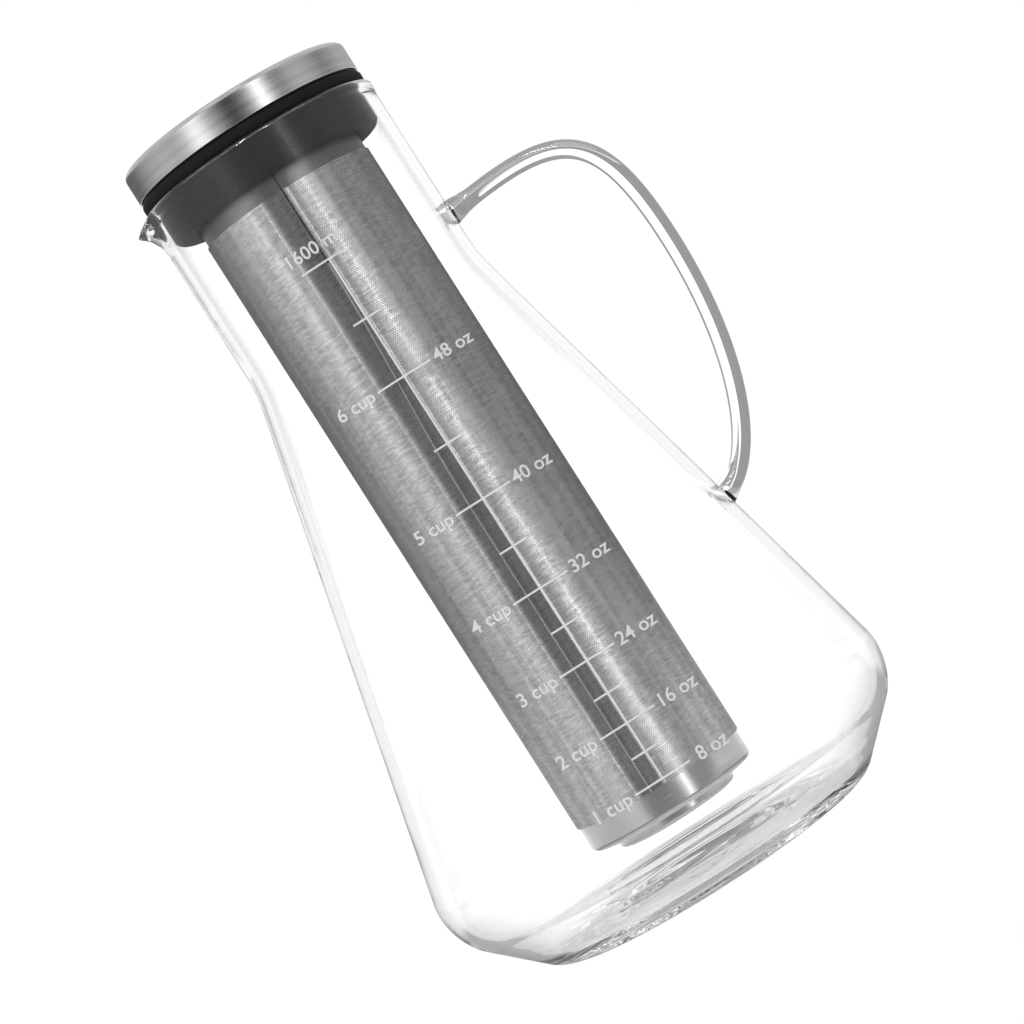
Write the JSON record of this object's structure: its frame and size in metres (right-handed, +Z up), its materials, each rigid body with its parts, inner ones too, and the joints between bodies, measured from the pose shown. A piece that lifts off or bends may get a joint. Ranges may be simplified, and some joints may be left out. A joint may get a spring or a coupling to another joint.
{
  "type": "cold brew coffee pitcher",
  "caption": "Conical glass carafe with a welded rod handle and pouring lip, a silicone collar in its neck, a hanging perforated steel filter tube and a steel-capped lid",
  "frame": {"origin": "centre of the base, on the surface that the pitcher stands on", "axes": "+Z up along the carafe's axis, +X towards the handle, -X towards the pouring lip, -Y towards the printed measuring scale"},
  "size_m": [0.1606, 0.1456, 0.2532],
  "materials": {
    "glass": "clear blown borosilicate glass",
    "glass_rod": "clear solid glass rod, fire polished",
    "enamel": "thin white fired print",
    "silicone": "black satin silicone",
    "perforated_steel": "fine etched holes in a rolled sheet",
    "plain_steel": "plain satin stainless steel",
    "cap_steel": "fine turned brushing",
    "lid_plastic": "black moulded plastic",
    "seal_silicone": "translucent pale silicone"
  },
  "bodies": {
    "carafe": {"glass_body": "glass", "glass_handle": "glass_rod", "scale_print": "enamel"},
    "collar": {"silicone_collar": "silicone"},
    "filter": {"filter_tube": "perforated_steel", "filter_top_band": "plain_steel", "filter_base_cup": "plain_steel"},
    "lid": {"lid_cap": "cap_steel", "lid_core": "lid_plastic", "lid_seal_ring": "seal_silicone"}
  },
  "joints": [
    {"name": "collar_lift", "type": "slide", "parent": "carafe", "child": "collar", "axis": [0, 0, 1], "range_m": [0, 0.24]},
    {"name": "filter_lift", "type": "slide", "parent": "collar", "child": "filter", "axis": [0, 0, 1], "range_m": [0, 0.24]},
    {"name": "lid_lift", "type": "slide", "parent": "filter", "child": "lid", "axis": [0, 0, 1], "range_m": [0, 0.05]}
  ]
}
